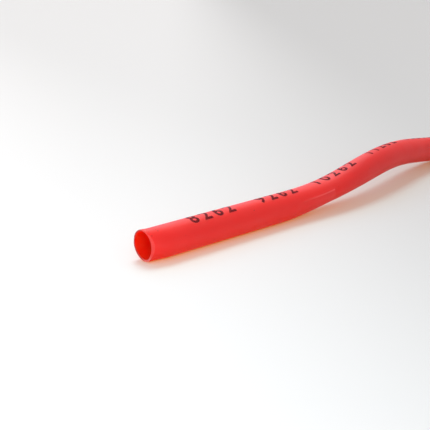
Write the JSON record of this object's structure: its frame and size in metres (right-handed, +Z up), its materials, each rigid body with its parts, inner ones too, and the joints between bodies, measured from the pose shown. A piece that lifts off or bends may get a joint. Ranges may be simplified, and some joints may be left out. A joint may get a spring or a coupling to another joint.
{
  "type": "heat shrink tube",
  "caption": "Cut length of thin-walled red heat-shrink tubing with an open bore, lying flat with a slight bow; it shrinks over wires or a splice to insulate them.",
  "frame": {"origin": "centre of the tube's bounding box, at the level of the surface it lies on", "axes": "+X along the straight near end, from the near mouth towards the far mouth; +Y to the left; +Z up"},
  "size_m": [0.149, 0.0168, 0.011],
  "materials": {
    "red_polyolefin": "satin, slightly translucent extruded plastic"
  },
  "bodies": {
    "root": {"heat_shrink_tube": "red_polyolefin"}
  },
  "joints": []
}
